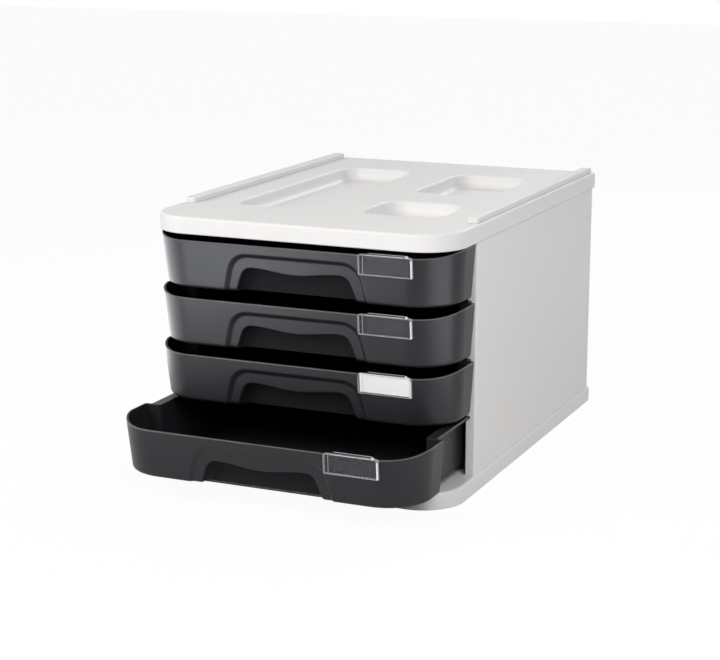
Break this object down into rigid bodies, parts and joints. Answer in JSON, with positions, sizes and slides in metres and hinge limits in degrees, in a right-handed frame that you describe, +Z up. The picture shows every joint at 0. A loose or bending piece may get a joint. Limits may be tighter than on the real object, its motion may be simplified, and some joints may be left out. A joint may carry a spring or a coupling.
{
  "type": "letter tray stack with drawers",
  "caption": "Desktop letter tray stack: a pale housing with sliding dark drawers, finger pockets, clear label holders, recesses in the top and stacking rails.",
  "frame": {"origin": "centre of the base plate's footprint, on the surface that the housing stands on", "axes": "+X to the right seen from the front, +Y from the drawers' fronts to the back, +Z up"},
  "size_m": [0.285, 0.4701, 0.24],
  "materials": {
    "housing": "fine satin, pale warm grey",
    "rail": "satin, pale grey",
    "drawer": "smooth semi-gloss, charcoal grey",
    "holder": "clear, glossy",
    "card": "white card",
    "screw": "plain steel"
  },
  "bodies": {
    "housing": {"base_plate": "housing", "top_plate": "housing", "left_side_panel": "housing", "right_side_panel": "housing", "back_panel": "housing", "left_stacking_rail": "rail", "right_stacking_rail": "rail", "base_screw_1": "screw", "base_screw_2": "screw", "base_screw_3": "screw", "base_screw_4": "screw", "base_screw_5": "screw", "base_screw_6": "screw"},
    "drawer_1_body": {"drawer_1": "drawer", "label_holder_1": "holder"},
    "drawer_2_body": {"drawer_2": "drawer", "label_holder_2": "holder"},
    "drawer_3_body": {"drawer_3": "drawer", "label_holder_3": "holder", "label_card": "card"},
    "drawer_4_body": {"drawer_4": "drawer", "label_holder_4": "holder"}
  },
  "joints": [
    {"name": "drawer_1_slide", "type": "slide", "parent": "housing", "child": "drawer_1_body", "axis": [0, -1, 0], "range_m": [0, 0.24]},
    {"name": "drawer_2_slide", "type": "slide", "parent": "housing", "child": "drawer_2_body", "axis": [0, -1, 0], "range_m": [0, 0.24]},
    {"name": "drawer_3_slide", "type": "slide", "parent": "housing", "child": "drawer_3_body", "axis": [0, -1, 0], "range_m": [0, 0.24]},
    {"name": "drawer_4_slide", "type": "slide", "parent": "housing", "child": "drawer_4_body", "axis": [0, -1, 0], "range_m": [-0.069, 0.171]}
  ]
}
